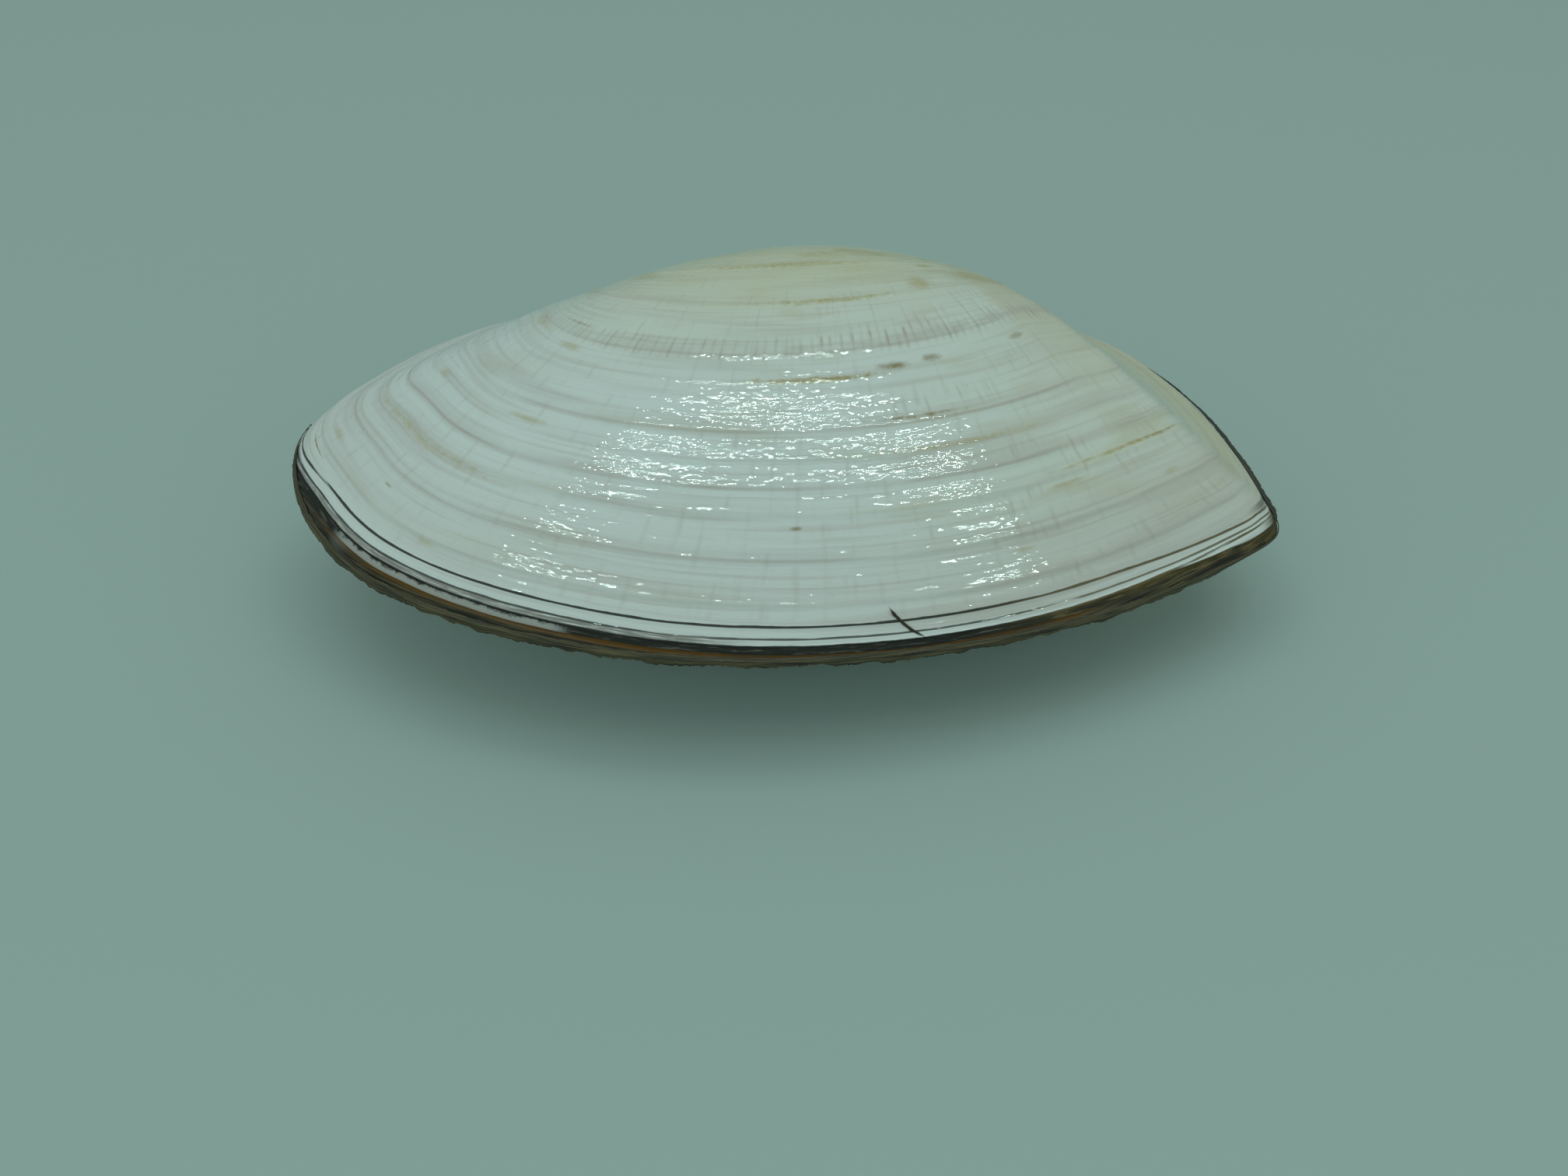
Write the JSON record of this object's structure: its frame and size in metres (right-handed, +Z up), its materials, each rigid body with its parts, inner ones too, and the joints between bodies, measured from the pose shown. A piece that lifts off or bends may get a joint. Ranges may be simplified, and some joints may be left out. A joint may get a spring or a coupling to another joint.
{
  "type": "tellin shell",
  "caption": "Closed tellin shell lying on its right valve: thin white valves with growth lines, a dark skin along the margin and a brown ligament behind the umbo",
  "frame": {"origin": "on the surface that the shell lies on, under the middle of its bounding box", "axes": "+X to the hind (posterior) end, +Y to the hinge and umbo, -Y to the ventral edge that faces the viewer, +Z up out of the left valve"},
  "size_m": [0.0848, 0.0534, 0.0272],
  "materials": {
    "valve_shell": "satin porcelain-white shell with concentric growth lines",
    "ligament_horn": "dry brown horny ligament"
  },
  "bodies": {
    "root": {"left_valve": "valve_shell", "right_valve": "valve_shell", "ligament": "ligament_horn"}
  },
  "joints": []
}
